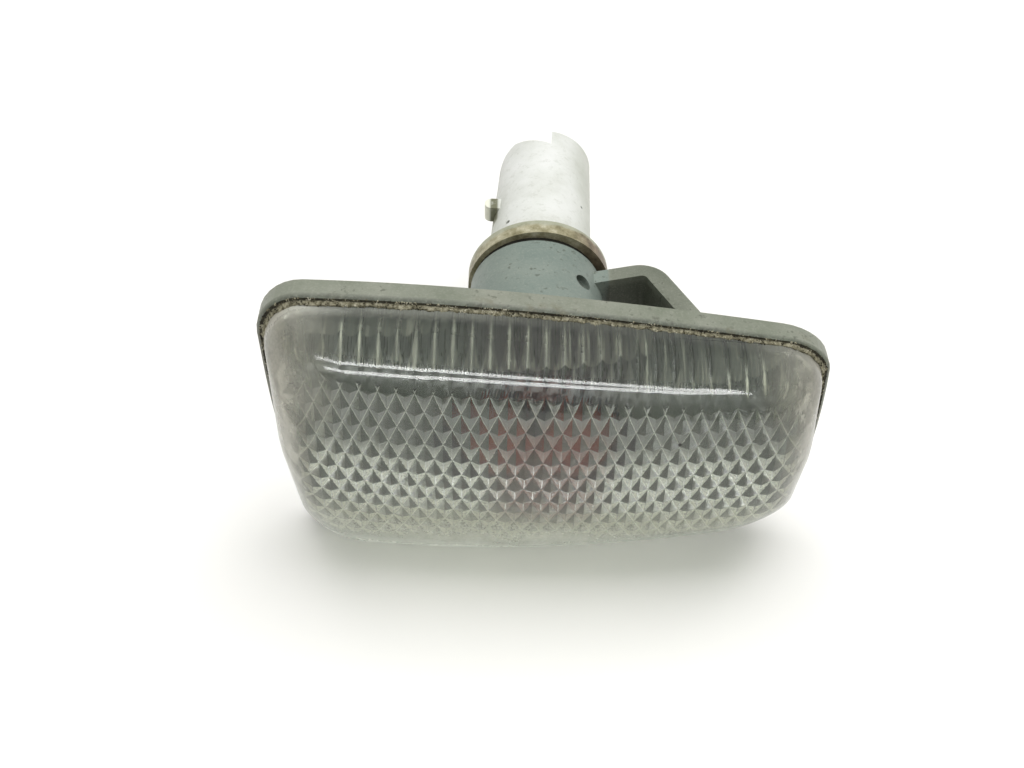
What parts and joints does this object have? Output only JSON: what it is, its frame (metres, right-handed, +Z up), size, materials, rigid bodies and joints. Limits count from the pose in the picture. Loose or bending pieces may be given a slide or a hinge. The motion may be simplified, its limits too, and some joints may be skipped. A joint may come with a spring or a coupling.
{
  "type": "side repeater lamp",
  "caption": "Side repeater lamp for a car's wing: clear diamond-prism lens on a grey-green housing with a spring clip, and a turn-to-lock bulb holder with its connector behind.",
  "frame": {"origin": "the middle of the flange's back face, which rests on the car's panel, at mid length and mid height", "axes": "+X along the lamp's length, to the right as seen from the lens side; +Y from the lens towards the bulb holder, out of the seat face; +Z up along the lamp's height"},
  "size_m": [0.0778, 0.0751, 0.047],
  "materials": {
    "housing_plastic": "satin, grimy",
    "lens_plastic": "clear, hazed at the edges",
    "holder_plastic": "satin, dirty at the collar",
    "seal_rubber": "matt",
    "terminal_metal": "tinned",
    "bulb_glass": "amber, glossy",
    "lead_metal": "plain drawn wire",
    "filament_metal": "coiled wire"
  },
  "bodies": {
    "lamp": {"housing": "housing_plastic", "lens": "lens_plastic"},
    "holder": {"bulb_holder": "holder_plastic", "holder_seal": "seal_rubber", "terminal_left": "terminal_metal", "terminal_right": "terminal_metal", "bulb_glass": "bulb_glass", "lead_left": "lead_metal", "lead_right": "lead_metal", "filament": "filament_metal"}
  },
  "joints": [
    {"name": "holder_turn", "type": "hinge", "parent": "lamp", "child": "holder", "pos_m": [-0.0009, 0.02, 0], "axis": [0, 1, 0], "range_deg": [0, 60]}
  ]
}
